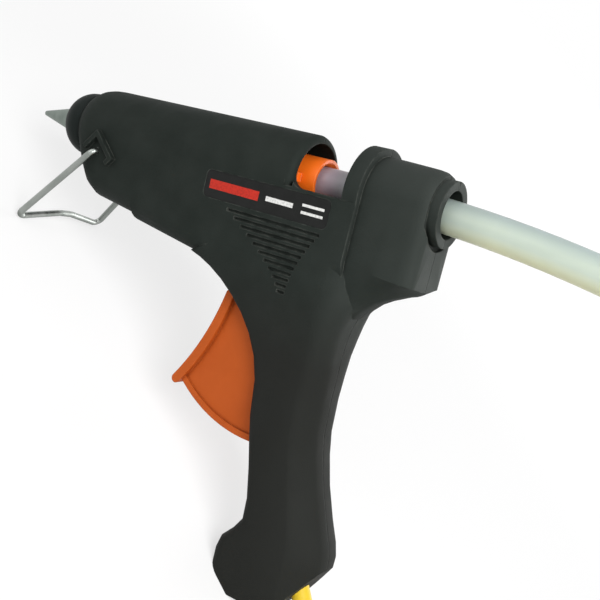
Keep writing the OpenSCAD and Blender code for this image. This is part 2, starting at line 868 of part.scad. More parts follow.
// The trigger's side view about its pivot, less front wall f and lower wall g
module sector_shape(f, g) {
    // The front edge stops short of the lower one, which starts a little behind it
    front_share = 0.95 - 0.02 * f;
    arc_start = arc_from + 1 + 1.1 * f;
    polygon(concat(
        [for (i = [0 : 8]) rib_point(front_share * i / 8, f)],
        sector_arc(trigger_r - g, arc_start, arc_to, 12),
        sector_back));
}

module trigger() {
    color([0.8, 0.36, 0.16])
        difference() {
            translate(pivot)
                union() {
                    // Hollow sector, open to the back
                    difference() {
                        side_plate(-trigger_half, trigger_half)
                            sector_shape(0, 0);
                        side_plate(-trigger_half + plate_wall, trigger_half - plate_wall)
                            difference() {
                                union() {
                                    sector_shape(2.4, rim_t);
                                    translate(mouth_corner)
                                        square(mouth_size);
                                }
                                circle(r = hub_r - lap_step);
                            }
                    }
                    // Rim along the lower edge
                    side_plate(-rim_half, rim_half)
                        polygon(concat(sector_arc(trigger_r + lap_step, arc_from, arc_to + 0.1, 12),
                            sector_arc(trigger_r - rim_t - lap_step, arc_to + 0.1, arc_from, 12)));
                    // Finger rib with round ends
                    side_plate(-rib_half, rib_half) {
                        polygon(concat([for (i = [0 : 10]) rib_point(i / 10, -rib_t / 2)],
                            [for (i = [0 : 10]) rib_point(1 - i / 10, rib_t / 2)]));
                        for (t = [0, 1])
                            translate(rib_point(t, 0))
                                circle(r = rib_t / 2 - lap_step);
                    }
                    // Hub and arm
                    bar_y(0, 0, -trigger_half - hub_step, trigger_half + hub_step, hub_r);
                    side_plate(-arm_half, arm_half)
                        rotate(-arm_lean) {
                            translate([lap_step - arm_tip_r, 0])
                                square([2 * (arm_tip_r - lap_step), arm_len]);
                            translate([0, arm_len])
                                circle(r = arm_tip_r);
                        }
                }
            bar_y(pivot.x, pivot.z, -20, 20, pin_r + run);
            bar_y(link_at.x, link_at.z, -20, 20, link_r + seat / 2);
            // Notch for the spring's end
            block([[hook.x - 1, hook.x + 4], [-1, 1], [hook.z - 1, hook.z + 1]]);
        }
}

module trigger_pin() {
    color([0.72, 0.72, 0.74])
        bar_y(pivot.x, pivot.z, -11.6, 11.6, pin_r);
}

module link_pin() {
    color([0.72, 0.72, 0.74])
        bar_y(link_at.x, link_at.z, -cheek[1], cheek[1], link_r);
}

// Return spring from the arm to a post in the housing

hook = pivot + 17 * [sin(arm_lean), 0, cos(arm_lean)] + [1.8, 0, 0];
spring_wire_r = 0.4;
spring_r = 2.4;
spring_turns = 11;
spring_ends = [hook + [2.2, 0, -0.2], post + [-3.2, 0, 0.2]];
spring_axis = unit(spring_ends[1] - spring_ends[0]);
spring_len = norm(spring_ends[1] - spring_ends[0]);

spring_path = concat(
    [hook, hook + 0.9 * spring_axis],
    [for (i = [0 : 8 * spring_turns])
        let (a = 360 * i / 8,
             grow = min(1, i / 6, (8 * spring_turns - i) / 6),
             side = cross(spring_axis, [0, 1, 0]))
        spring_ends[0] + spring_axis * spring_len * i / (8 * spring_turns)
            + grow * spring_r * (cos(a) * [0, 1, 0] + sin(a) * side)],
    [post - 2.3 * spring_axis, post - (post_r + seat) * spring_axis]);

module return_spring() {
    color([0.7, 0.7, 0.72])
        tube(spring_path, spring_wire_r, 6, spring_axis + [0, 0.02, 0]);
}

// Wire stand

leg_y = barrel_r + stand_wire / 2 + 0.5;
// Length of the legs that lets the round bends at the feet touch the table
bar_half = 3;
bar_bend = 4 * stand_wire;
foot_corner = atan2(foot_spread - bar_half, bar_rise);
foot_lift = stand_wire * (1 / tan(foot_corner / 2) - 1);
table_up = along(90 - rest_tilt);
leg_len = ((stand_pivot - toe) * table_up - stand_wire / 2) / -(leg_dir * table_up) + foot_lift;
foot_at = stand_pivot + leg_len * leg_dir;
bar_at = foot_at - bar_rise * leg_dir;

function on_side(p, y) = [p.x, y, p.z];

module stand() {
    color([0.6, 0.61, 0.6])
        bent_rod([
            on_side(stand_pivot, -barrel_r + wall), on_side(stand_pivot, -leg_y),
            on_side(foot_at, -foot_spread), on_side(bar_at, -bar_half), on_side(bar_at, bar_half),
            on_side(foot_at, foot_spread),
            on_side(stand_pivot, leg_y), on_side(stand_pivot, barrel_r - wall)],
            stand_wire / 2, [0, stand_wire, stand_wire, bar_bend, bar_bend, stand_wire, stand_wire, 0]);
}

// Glue stick with its sagging tail

sag_from = -25;

module glue_stick() {
    straight = stick_reach + sag_from;
    tail = stick_len - straight;
    color([0.86, 0.88, 0.82])
        union() {
            bar_x(-stick_reach, sag_from + lap, stick_r);
            translate([sag_from, 0, -stick_sag_r])
                rotate([90, 0, 0])
                    rotate([0, 0, 90 - tail / stick_sag_r * 180 / PI])
                        rotate_extrude(angle = tail / stick_sag_r * 180 / PI, $fn = 96)
                            translate([stick_sag_r, 0])
                                circle(r = stick_r - lap_step);
        }
}

// Lead inside the handle

relief_r = 3.4;
relief_end_r = 3.1;
relief_exit = [-17.6, 0, -137.4];
relief_dir = along(-60);
cord_r = cord_d / 2;
// Length of the jacket inside the handle, and where its conductors come out
jacket_len = 24;
jacket_end = relief_exit - jacket_len * relief_dir;
core_y = 1.2;
wire_r = 0.75;
wire_y = 9.35;

// First two points of a conductor at the end of the jacket
function core_start(y) = [jacket_end + [0, y, 0], jacket_end - 2 * wire_r * relief_dir + [0, y, 0]];

// Route of the two conductors, up the right side of the handle and along the belly to the heater's tabs
wire_routes = [
    concat(core_start(core_y), [
        [-28.6, 2.4, -111.5], [-25.4, 4, -106], [-25.6, 6.4, -99], [-29.4, 9, -91], [-33.5, wire_y, -76],
        [-35.4, wire_y, -58], [-36, wire_y, -44], [-41, wire_y, -35], [-50, wire_y, -30.5], [-64, wire_y, -29],
        [-78, wire_y, -26], [-88, 9, -21], [-94, 6, -15], [-98.5, 3.4, tab_z(1)], [tab_end, 3.4, tab_z(1)]]),
    concat(core_start(-core_y), [
        [-28.8, -0.6, -111.5], [-25.6, 1.2, -105.5], [-28.6, 5.4, -98], [-32.2, 9, -90.6], [-35.8, wire_y, -76],
        [-37.6, wire_y, -58], [-38.2, wire_y, -45], [-42.5, wire_y, -37], [-50, wire_y, -32.8],
        [-64, wire_y, -31.2], [-78, wire_y, -28.2], [-86, 8, -24.6], [-92, 2, -19], [-98.5, -3.4, tab_z(-1)],
        [tab_end, -3.4, tab_z(-1)]])
];

module lead_wires() {
    color([0.55, 0.2, 0.15])
        for (route = wire_routes)
            tube(route, wire_r, 6, [0, 1, 0.05]);
}

module along_relief() {
    translate(relief_exit)
        rotate([0, 150, 0])
            children();
}

// Sleeve moulded onto the lead, with the lead's jacket reaching in to the clamp
module strain_relief() {
    slot_pitch = (relief_len - 8) / 4.4;
    color([0.9, 0.75, 0.1])
        along_relief()
            difference() {
                rotate_extrude()
                    polygon([
                        [0, -jacket_len], [cord_r, -jacket_len], [cord_r, -8], [5, -8], [5, -5], [relief_r, -5],
                        [relief_r, 5], [relief_end_r + 0.2, relief_len - 2], [cord_r, relief_len],
                        [0, relief_len]]);
                // Slots that let the sleeve bend
                for (i = [0 : 3], s = [0, 1])
                    translate([0, 0, 8 + slot_pitch * (i + s / 2)])
                        rotate([0, 0, 90 * s])
                            for (side = [-1, 1])
                                translate([side * (cord_r + 1), 0, 0])
                                    cube([2, 10, 1.1], center = true);
            }
}

// Clamp bar over the jacket, on two seats in the housing
clamp_half = 2.6;
clamp_t = 2.6;
clamp_reach = 12.4;
clamp_y = 7.4;
clamp_screw_len = 8;
clamp_at = relief_exit - 17 * relief_dir;

module at_clamp() {
    translate(clamp_at)
        rotate([0, 60, 0])
            children();
}

module clamp_bores(grow) {
    for (s = [-1, 1])
        translate([0, s * clamp_y, cord_r + clamp_t - clamp_screw_len])
            cylinder(h = clamp_screw_len + 2 * seat, r = screw_r + grow);
}

module cord_clamp() {
    color([0.16, 0.16, 0.16])
        at_clamp()
            difference() {
                block([[-clamp_half, clamp_half], [-10.6, 10.6], [cord_r + seat, cord_r + seat + clamp_t]]);
                clamp_bores(seat);
            }
}

module clamp_screws() {
    head = cord_r + clamp_t + 2 * seat;
    color([0.6, 0.6, 0.62])
        at_clamp() {
            clamp_bores(0);
            for (s = [-1, 1])
                translate([0, s * clamp_y, head])
                    cylinder(h = 1.6, r = head_r - 0.3);
        }
}

// Parking pose

function park(p) =
    let (d = p - toe)
    [d.x * cos(rest_tilt) - d.z * sin(rest_tilt), d.y, d.x * sin(rest_tilt) + d.z * cos(rest_tilt)];

module parked() {
    rotate([0, -rest_tilt, 0])
        translate(-toe)
            children();
}

// Lead on the table, in the parked frame

cord_start = park(relief_exit + relief_len * relief_dir);
cord_heading = park(relief_exit + (relief_len + cord_d) * relief_dir) - cord_start;
tie_t = 1;
tie_w = 8;
coil_sides = 6;
coil_flat = cord_r * cos(180 / coil_sides);
coil_lift = coil_flat + tie_t;

// Hank of the put-away length: oval loops that spiral in and out again, four layers high
hank_mid = 166;
hank_run = 72;
hank_gap = 0.8;
hank_pitch = cord_d + hank_gap;
fold_r = 3 * cord_d;
layer_turns = 0.5;
layers = 4;
layer_span = layer_turns + 0.5;
hank_turns = layers * layer_span - 0.5;
hank_r = fold_r + hank_pitch * layer_span;
waist = 6;
loop_rings = 24;
run_rings = 4;
fold_rings = loop_rings / 2 - run_rings;

// Fold radius after so many rings; it swings in and out by one step in each layer
function hank_radius(ring) =
    let (swing = (ring / loop_rings + 0.25) % (2 * layer_span))
    hank_r - hank_pitch * min(swing, 2 * layer_span - swing);

// Height after so many rings: the lead climbs along the run that follows each layer
function hank_height(ring) =
    coil_lift + hank_pitch * climbed(ring, 1) + hank_pitch * climbed(ring, 2) + hank_pitch * climbed(ring, 3);
function climbed(ring, layer) =
    let (start = loop_rings * (layer * layer_span - 0.5),
         t = min(1, max(0, (ring - start) / run_rings)))
    t * t * (3 - 2 * t);

// Point on the hank after so many rings: a run, a fold at the far end, a run back, a fold at the near end
function hank_point(ring) =
    let (half = floor(ring / (loop_rings / 2)) % 2,
         step = ring % (loop_rings / 2),
         dir = half == 0 ? 1 : -1,
         r = hank_radius(ring),
         along_run = min(step / run_rings, 1),
         a = 90 - 180 * max(0, step - run_rings) / fold_rings,
         drawn = step < run_rings ? waist * (1 - cos(360 * along_run)) / 2 : 0)
    [hank_mid + dir * (hank_run * (along_run - 0.5) + r * cos(a)), dir * (r * sin(a) - drawn), hank_height(ring)];

// Hand-chosen points from the strain relief to the hank, and from the hank to the plug
hank_start = hank_point(0) - [cord_d, 0, 0];
cord_route = concat(
    [cord_start, cord_start + cord_heading],
    [[56, 0.3, 4], [64, 1.8, 3.2], [72, 4.6, 3], [80, 8.4, 3], [88, 12.6, 3], [96, 16.4, 3], [104, 19.4, 3.1],
     [112, 21.2, 3.3]],
    [hank_start - [cord_d, 0, 0], hank_start]);
top = hank_height(loop_rings * hank_turns);
tail_waist = 17.6;
plug_back = [67, -17.4, 6.55];
tail_route = [
    [184, -19, top], [hank_mid, -tail_waist, top], [148, -21.2, top], [136, -23.8, top], [127, -24.6, top],
    [118, -24.6, 21.8], [110, -24, 19.4], [102, -22.8, 15.8], [94, -21.2, 11.8], [86, -19.4, 8.8], [79, -18, 7.1],
    plug_back + [cord_d, 0, 0], plug_back];
coil_rings = loop_rings * hank_turns;
coil_path = concat([hank_start], [for (i = [0 : coil_rings]) hank_point(i)], tail_route);

// Least gap of the hank to itself, between points half a loop apart or more
coil_self_gap = min([for (i = [0 : len(coil_path) - 1], j = [i + loop_rings / 2 : 1 : len(coil_path) - 1])
    norm(coil_path[i] - coil_path[j])]) - cord_d;
echo(coil_self_gap = coil_self_gap);

module power_cord() {
    color([0.88, 0.74, 0.1])
        tube(cord_route, cord_r, 8, [0, 0, 1]);
}

module cord_coil() {
    color([0.88, 0.74, 0.1])
        tube(coil_path, cord_r, coil_sides, [0, 0, 1]);
}

// Strap round the waist of the hank
module cord_tie() {
    // Room for the slope of the runs under the strap
    room = 1.1;
    near = -tail_waist - cord_r - room;
    far = hank_radius(run_rings / 2) - waist + cord_r + room;
    tall = (layers - 1) * hank_pitch + 2 * coil_flat;
    color([0.12, 0.12, 0.12])
        translate([hank_mid, 0, 0])
            difference() {
                block([[-tie_w / 2, tie_w / 2], [near - tie_t, far + tie_t], [0, tall + 2 * tie_t]]);
                block([[-tie_w, tie_w], [near, far], [tie_t, tall + tie_t]]);
            }
}

plug_size = [28, 18.6, 13];
plug_neck = [9, 8.6];
blade_pitch = 12.7;
blade = [16.5, 1.5, 6.3];

// Two-blade plug lying flat, wide at its face
module plug_body() {
    waist_at = -7;
    face = -plug_size.x;
    shoulder = face + 9;
    color([0.88, 0.74, 0.1])
        translate(plug_back)
            difference() {
                intersection() {
                    translate([0, 0, -plug_size.z / 2])
                        linear_extrude(plug_size.z)
                            polygon([
                                [0, -plug_neck.x / 2], [waist_at, -plug_neck.x / 2 - 0.8],
                                [shoulder, -plug_size.y / 2], [face, -plug_size.y / 2], [face, plug_size.y / 2],
                                [shoulder, plug_size.y / 2], [waist_at, plug_neck.x / 2 + 0.8],
                                [0, plug_neck.x / 2]]);
                    side_plate(-plug_size.y, plug_size.y)
                        polygon([
                            [0, -plug_neck.y / 2], [shoulder, -plug_size.z / 2], [face, -plug_size.z / 2],
                            [face, plug_size.z / 2], [shoulder, plug_size.z / 2], [0, plug_neck.y / 2]]);
                }
                // Grip hollows across the top and the underside
                for (s = [-1, 1], i = [0 : 2])
                    translate([waist_at - 3 - 3.4 * i, 0, s * (plug_size.z / 2 + 0.3)])
                        cube([1.5, plug_size.y, 2.4], center = true);
                plug_blades(seat / 2);
            }
}

module plug_blades(grow) {
    for (s = [-1, 1])
        translate([-plug_size.x - blade.x, s * blade_pitch / 2 - blade.y / 2 - grow, -blade.z / 2 - grow])
            cube([blade.x + 8, blade.y + 2 * grow, blade.z + 2 * grow]);
}

module plug_pins() {
    color([0.75, 0.72, 0.62])
        translate(plug_back)
            difference() {
                plug_blades(0);
                // Hole near the tip of each blade
                bar_y(-plug_size.x - blade.x + 3.6, 0, -plug_size.y, plug_size.y, 1.6);
            }
}

parked() housing_left();
parked() housing_right();
parked() housing_screws();
parked() label_plate();
parked() nose_cap();
parked() nozzle();
parked() melt_chamber();
parked() ptc_heater();
parked() heater_electrodes();
parked() heater_insulation();
parked() inlet_sleeve();
parked() sleeve_clamp();
parked() carrier();
parked() grip_jaw();
parked() trigger();
parked() trigger_pin();
parked() link_pin();
parked() return_spring();
parked() stand();
parked() glue_stick();
parked() lead_wires();
parked() cord_clamp();
parked() clamp_screws();
parked() strain_relief();
power_cord();
cord_coil();
cord_tie();
plug_body();
plug_pins();
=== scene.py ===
"""Looks of a hot glue gun that is parked on its wire stand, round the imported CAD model."""
import math

import bpy
from mathutils import Matrix, Vector


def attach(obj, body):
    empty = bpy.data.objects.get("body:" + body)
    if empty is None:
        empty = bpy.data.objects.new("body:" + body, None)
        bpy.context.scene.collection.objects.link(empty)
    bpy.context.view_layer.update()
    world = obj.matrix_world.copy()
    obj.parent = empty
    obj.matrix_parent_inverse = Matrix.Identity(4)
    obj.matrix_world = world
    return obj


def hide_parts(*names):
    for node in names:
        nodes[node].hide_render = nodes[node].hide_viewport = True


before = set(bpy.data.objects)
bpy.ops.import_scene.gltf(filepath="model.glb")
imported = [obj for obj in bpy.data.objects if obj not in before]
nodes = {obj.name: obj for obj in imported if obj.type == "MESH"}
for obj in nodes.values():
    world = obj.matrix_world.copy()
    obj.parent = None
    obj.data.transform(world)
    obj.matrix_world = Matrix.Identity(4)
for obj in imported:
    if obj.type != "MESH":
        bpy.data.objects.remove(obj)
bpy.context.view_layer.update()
scene = bpy.context.scene
scene.view_settings.view_transform = "Standard"
MM = 0.001

# The gun's own frame, in mm: X along the stick with the nozzle toward -X, Z up, zero at the inlet's face

X, Y, Z = 0, 1, 2
TILT = math.radians(38)
TOE = Vector((-43, 0, -140.2))
PARK = Matrix.Rotation(-TILT, 3, "Y")


def row(p):
    """A point of the gun's frame, in mm, in the row frame, in metres."""
    return PARK @ (Vector(p) - TOE) * MM


# Camera at the photograph's viewing angle, given in the gun's frame

CAM_AZIMUTH = math.radians(30.35)
CAM_ELEVATION = math.radians(8.64)
CAM_ROLL = math.radians(13.87)
IMAGE = 600
FOCAL_PX = 844.3
INLET_PX = (452, 215.8)
INLET_DISTANCE = 261.9
SENSOR = 36
CLIP_START = 0.01
CLIP_END = 50


def make_camera():
    sa, ca = math.sin(CAM_AZIMUTH), math.cos(CAM_AZIMUTH)
    se, ce = math.sin(CAM_ELEVATION), math.cos(CAM_ELEVATION)
    level_right = Vector((ca, sa, 0))
    level_up = Vector((-sa * se, ca * se, ce))
    back = Vector((sa * ce, -ca * ce, se))
    right = math.cos(CAM_ROLL) * level_right + math.sin(CAM_ROLL) * level_up
    up = math.cos(CAM_ROLL) * level_up - math.sin(CAM_ROLL) * level_right
    off_x = (INLET_PX[0] - IMAGE / 2) * INLET_DISTANCE / FOCAL_PX
    off_y = (INLET_PX[1] - IMAGE / 2) * INLET_DISTANCE / FOCAL_PX
    place = row(INLET_DISTANCE * back - off_x * right + off_y * up)
    turn = Matrix([PARK @ v for v in (right, up, back)]).transposed()
    data = bpy.data.cameras.new("camera")
    data.sensor_width = SENSOR
    data.lens = SENSOR * FOCAL_PX / IMAGE
    data.clip_start = CLIP_START
    data.clip_end = CLIP_END
    cam = bpy.data.objects.new("camera", data)
    scene.collection.objects.link(cam)
    cam.matrix_world = Matrix.Translation(place) @ turn.to_4x4()
    scene.camera = cam


make_camera()

# The lead, along the route of its solids, in mm in the row frame

CORD_D = 5.6
CORD_R = CORD_D / 2
RELIEF_EXIT = Vector((-17.6, 0, -137.4))
RELIEF_SLOPE = math.radians(60)
RELIEF_DIR = Vector((math.cos(RELIEF_SLOPE), 0, -math.sin(RELIEF_SLOPE)))
RELIEF_LEN = 28
TIE_T = 1
COIL_LIFT = CORD_R * math.cos(math.radians(30)) + TIE_T
HANK_MID = 166
HANK_RUN = 72
HANK_PITCH = CORD_D + 0.8
HANK_R = 3 * CORD_D + HANK_PITCH
WAIST = 6
LAYERS = 4
LOOP_POINTS = 24
RUN_POINTS = 4
PLUG_BACK = Vector((67, -17.4, 6.55))

# From the strain relief to the hank
LAID = [(56, 0.3, 4), (64, 1.8, 3.2), (72, 4.6, 3), (80, 8.4, 3), (88, 12.6, 3), (96, 16.4, 3),
        (104, 19.4, 3.1), (112, 21.2, 3.3)]
# Along the top of the hank, in plan, and from there down to the plug
ON_TOP = [(184, -19), (HANK_MID, -17.6), (148, -21.2), (136, -23.8), (127, -24.6)]
DOWN = [(118, -24.6, 21.8), (110, -24, 19.4), (102, -22.8, 15.8), (94, -21.2, 11.8), (86, -19.4, 8.8),
        (79, -18, 7.1)]


def hank_height(i):
    """The lead climbs by one layer along every second run."""
    lift = COIL_LIFT
    for layer in range(1, LAYERS):
        t = min(1, max(0, (i - LOOP_POINTS * (layer - 0.5)) / RUN_POINTS))
        lift += HANK_PITCH * t * t * (3 - 2 * t)
    return lift


def hank_point(i):
    """Oval loops, drawn in at the waist, whose folds swing in and out by one pitch."""
    half = LOOP_POINTS // 2
    step = i % half
    way = 1 if (i // half) % 2 == 0 else -1
    swing = (i / LOOP_POINTS + 0.25) % 2
    radius = HANK_R - HANK_PITCH * min(swing, 2 - swing)
    along = min(step / RUN_POINTS, 1)
    angle = math.radians(90 - 180 * max(0, step - RUN_POINTS) / (half - RUN_POINTS))
    drawn = WAIST * (1 - math.cos(2 * math.pi * along)) / 2
    x = HANK_MID + way * (HANK_RUN * (along - 0.5) + radius * math.cos(angle))
    return Vector((x, way * (radius * math.sin(angle) - drawn), hank_height(i)))


def lead_points():
    start = row(RELIEF_EXIT + RELIEF_LEN * RELIEF_DIR) / MM
    ahead = row(RELIEF_EXIT + (RELIEF_LEN + CORD_D) * RELIEF_DIR) / MM
    hank = [hank_point(i) for i in range(int(LOOP_POINTS * (LAYERS - 0.5)) + 1)]
    straight = Vector((CORD_D, 0, 0))
    free = [start, ahead] + [Vector(p) for p in LAID] + [hank[0] - 2 * straight, hank[0] - straight]
    top = [Vector((x, y, hank[-1].z)) for x, y in ON_TOP]
    tail = [Vector(p) for p in DOWN] + [PLUG_BACK + straight, PLUG_BACK]
    return free + hank + top + tail


def make_cord():
    points = lead_points()
    curve = bpy.data.curves.new("lead", "CURVE")
    curve.dimensions = "3D"
    # The thickness is the knots' radius, so that the curve's own box is right
    curve.bevel_depth = 1
    curve.bevel_resolution = 5
    curve.resolution_u = 4
    curve.use_fill_caps = True
    spline = curve.splines.new("BEZIER")
    spline.bezier_points.add(len(points) - 1)
    for knot, p in zip(spline.bezier_points, points):
        knot.co = p * MM
        knot.radius = CORD_R * MM
        knot.handle_left_type = "AUTO"
        knot.handle_right_type = "AUTO"
    lead = bpy.data.objects.new("lead", curve)
    scene.collection.objects.link(lead)
    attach(lead, "gun")
    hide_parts("power_cord", "cord_coil")
    return lead


lead = make_cord()

# Small helpers for node materials

# The range that most values of a noise lie in
MIDDLE = (0.3, 0.7)
NODE_SAMPLES = 6
OPEN_TO_DEEP = (0.8, 0.35)


class Tree:
    """The nodes of one material, with coordinates in mm of the gun's frame."""

    def __init__(self, name):
        self.material = bpy.data.materials.new(name)
        self.material.use_nodes = True
        self.tree = self.material.node_tree
        self.tree.nodes.clear()
        out = self.add("ShaderNodeOutputMaterial")
        self.bsdf = self.add("ShaderNodeBsdfPrincipled")
        self.tree.links.new(self.bsdf.outputs[0], out.inputs[0])
        coords = self.add("ShaderNodeTexCoord")
        gun = self.add("ShaderNodeMapping")
        gun.inputs["Scale"].default_value = (1 / MM,) * 3
        gun.inputs["Rotation"].default_value = (0, TILT, 0)
        gun.inputs["Location"].default_value = TOE
        self.tree.links.new(coords.outputs["Object"], gun.inputs["Vector"])
        self.gun = gun.outputs[0]

    def add(self, kind, **settings):
        node = self.tree.nodes.new(kind)
        for key, value in settings.items():
            setattr(node, key, value)
        return node

    def put(self, socket, value):
        if isinstance(value, bpy.types.NodeSocket):
            self.tree.links.new(value, socket)
        else:
            socket.default_value = value

    def math(self, operation, a, b=0.0, clamp=False):
        node = self.add("ShaderNodeMath", operation=operation, use_clamp=clamp)
        self.put(node.inputs[0], a)
        self.put(node.inputs[1], b)
        return node.outputs[0]

    def part(self, axis):
        node = self.add("ShaderNodeSeparateXYZ")
        self.put(node.inputs[0], self.gun)
        return node.outputs[axis]

    def stretched(self, factors):
        node = self.add("ShaderNodeVectorMath", operation="MULTIPLY")
        self.put(node.inputs[0], self.gun)
        node.inputs[1].default_value = factors
        return node.outputs[0]

    def noise(self, size, detail=2.0, vector=None, roughness=0.5):
        """Noise whose features are about so many mm across."""
        node = self.add("ShaderNodeTexNoise")
        self.put(node.inputs["Vector"], vector or self.gun)
        node.inputs["Scale"].default_value = 1 / size
        node.inputs["Detail"].default_value = detail
        node.inputs["Roughness"].default_value = roughness
        return node.outputs["Fac"]

    def span(self, value, low, high, to_low=0.0, to_high=1.0):
        """Values from low to high, spread over to_low to to_high."""
        node = self.add("ShaderNodeMapRange")
        for i, v in enumerate((value, low, high, to_low, to_high)):
            self.put(node.inputs[i], v)
        return node.outputs[0]

    def mix(self, share, a, b):
        node = self.add("ShaderNodeMix", data_type="RGBA")
        self.put(node.inputs["Factor"], share)
        for socket, value in zip((node.inputs[6], node.inputs[7]), (a, b)):
            self.put(socket, value if isinstance(value, bpy.types.NodeSocket) else (*value, 1))
        return node.outputs[2]

    def rounded(self, radius):
        """The surface's normal, with edges rounded by so many mm."""
        bevel = self.add("ShaderNodeBevel", samples=NODE_SAMPLES)
        bevel.inputs["Radius"].default_value = radius * MM
        return bevel.outputs[0]

    def edges(self, width, sharp=0.15):
        """1 on edges, which get the tone of wear and painted highlight, 0 on flat faces."""
        flat = self.add("ShaderNodeNewGeometry")
        dot = self.add("ShaderNodeVectorMath", operation="DOT_PRODUCT")
        self.put(dot.inputs[0], self.rounded(width))
        self.put(dot.inputs[1], flat.outputs["Normal"])
        return self.span(dot.outputs["Value"], 1.0, 1.0 - sharp)

    def crevices(self, reach):
        """1 deep in the piece's own corners, 0 on open faces; the mask for painted shade."""
        node = self.add("ShaderNodeAmbientOcclusion", samples=NODE_SAMPLES, only_local=True)
        node.inputs["Distance"].default_value = reach * MM
        return self.span(node.outputs["AO"], *OPEN_TO_DEEP)

    def faces_up(self):
        """1 on faces that look up, -1 on faces that look down."""
        coords = self.add("ShaderNodeTexCoord")
        node = self.add("ShaderNodeSeparateXYZ")
        self.put(node.inputs[0], coords.outputs["Normal"])
        return node.outputs[Z]

    def bump(self, height, depth, strength=1.0, round_edges=0.0):
        """A bump of so many mm; round_edges softens the edges by that radius."""
        node = self.add("ShaderNodeBump")
        self.put(node.inputs["Height"], height)
        node.inputs["Distance"].default_value = depth * MM
        node.inputs["Strength"].default_value = strength
        if round_edges:
            self.put(node.inputs["Normal"], self.rounded(round_edges))
        self.set("Normal", node.outputs[0])

    def set(self, name, value):
        if isinstance(value, tuple) and len(value) == 3 and name != "Subsurface Radius":
            value = (*value, 1)
        self.put(self.bsdf.inputs[name], value)


# Plastics: dark tone, pale tone and edge tone, which is partly wear and partly a painted highlight

BLACK = ((0.0145, 0.0185, 0.016), (0.0205, 0.025, 0.022), (0.1, 0.107, 0.095))
NOSE = ((0.0075, 0.0108, 0.0098), (0.0105, 0.014, 0.013), (0.1, 0.107, 0.095))
ORANGE = ((0.92, 0.148, 0.007), (0.95, 0.175, 0.012), (0.98, 0.35, 0.12))
RED_ORANGE = ((0.4, 0.072, 0.0085), (0.455, 0.086, 0.012), (0.6, 0.15, 0.03))
YELLOW = ((0.76, 0.52, 0.02), (0.8, 0.57, 0.035), (0.85, 0.68, 0.15))
CERAMIC = ((0.1, 0.09, 0.085), (0.15, 0.14, 0.13), (0.2, 0.19, 0.18))
FILM = ((0.42, 0.2, 0.03), (0.5, 0.25, 0.05), (0.6, 0.35, 0.1))
SILICONE = ((0.4, 0.05, 0.035), (0.48, 0.07, 0.045), (0.55, 0.15, 0.1))
WIRE_COVER = ((0.18, 0.045, 0.025), (0.22, 0.055, 0.035), (0.3, 0.1, 0.07))
TIE_RUBBER = ((0.013, 0.013, 0.013), (0.02, 0.02, 0.02), (0.05, 0.05, 0.05))
# Colours of the painted shade in each plastic's corners and creases
BLACK_CORNER_SHADE = (0.005, 0.006, 0.005)
ORANGE_CORNER_SHADE = (0.45, 0.06, 0.004)
RED_ORANGE_CORNER_SHADE = (0.16, 0.02, 0.004)
CORNER_SHADE_REACH = 2
CORNER_SHADE_SHARE = 0.8

# Sizes, in mm, of the uneven tone, of the spots on the paler edges (partly rubbed, partly a painted
# highlight) and of smoother spots
TONE_SIZE = 14
RUBBED_SIZE = 3.5
RUBBED_RANGE = (0.35, 0.7)
SMOOTH_SIZE = 9
SMOOTH_RANGE = (0.4, 1.0)
GRAIN_IN_GLOSS = 0.4

# The housing alone: painted light on the hood's upward faces, a more neutral, slightly darker tone towards
# the foot of the handle, and the seam of its halves
BLACK_LIT_HOOD = (0.043, 0.049, 0.045)
LIT_HOOD_X = (-36, -20)
LIT_FACES = (-0.1, 0.7)
LIT_SHARES = (0.2, 0.75)
BLACK_LOWER_HANDLE = (0.0165, 0.0165, 0.015)
LOWER_HANDLE_Z = (-30, -60)
LOWER_HANDLE_SHARE = 0.8
SEAM_DARK = (0.004, 0.005, 0.004)
SEAM_HALF = 0.16
SEAM_SHARE = 0.8
SEAM_DEPTH = 3
WANDER = 0.08
WANDER_SIZE = 2.5


